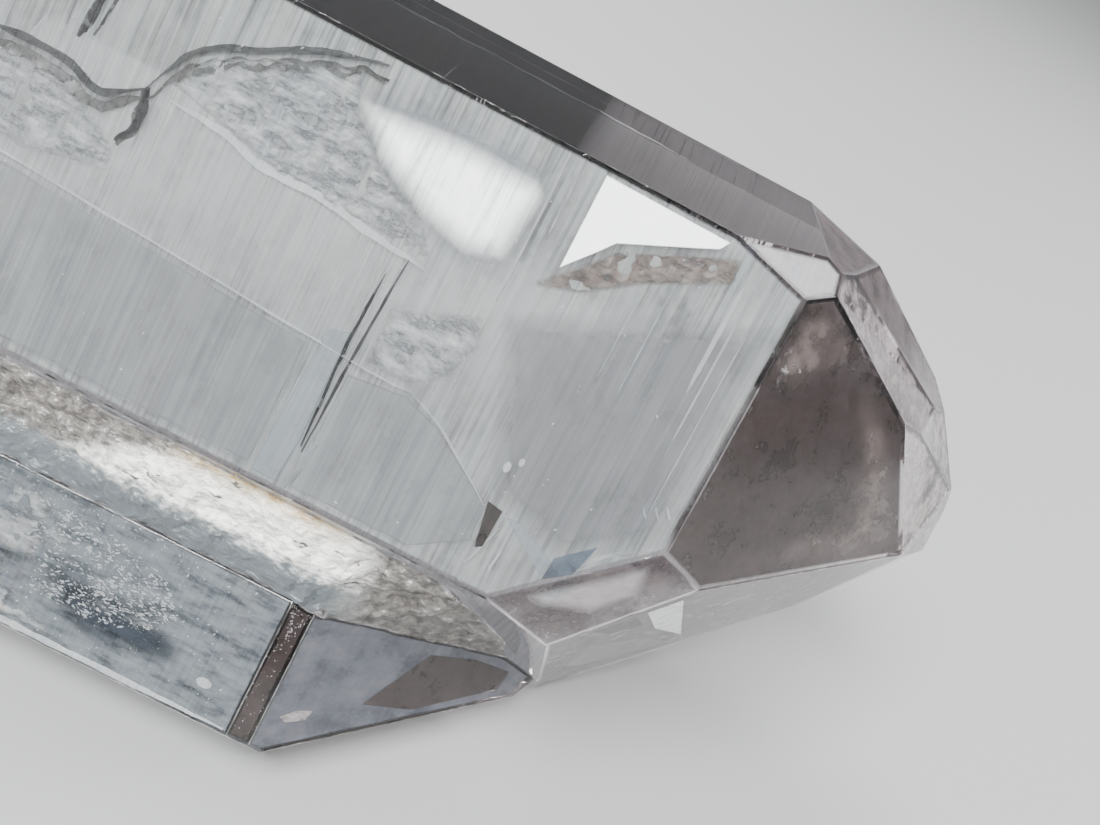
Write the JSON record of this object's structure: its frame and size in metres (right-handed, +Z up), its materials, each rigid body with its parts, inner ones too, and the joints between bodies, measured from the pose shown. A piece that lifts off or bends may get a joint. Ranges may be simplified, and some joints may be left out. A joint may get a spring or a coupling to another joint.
{
  "type": "quartz point",
  "caption": "Clear quartz point with a smaller parallel crystal grown along its lower side, a chipped tip and a broken base, lying on its prism faces.",
  "frame": {"origin": "middle of the footprint box, on the surface the crystal lies on", "axes": "+X along the crystals' growth axis towards the point, +Z up, the large striated front face looks towards -Y and up"},
  "size_m": [0.0869, 0.0442, 0.0468],
  "materials": {
    "quartz": "clear natural crystal with striated faces, healed cracks and a smoky tint at the point"
  },
  "bodies": {
    "root": {"quartz_crystal": "quartz"}
  },
  "joints": []
}
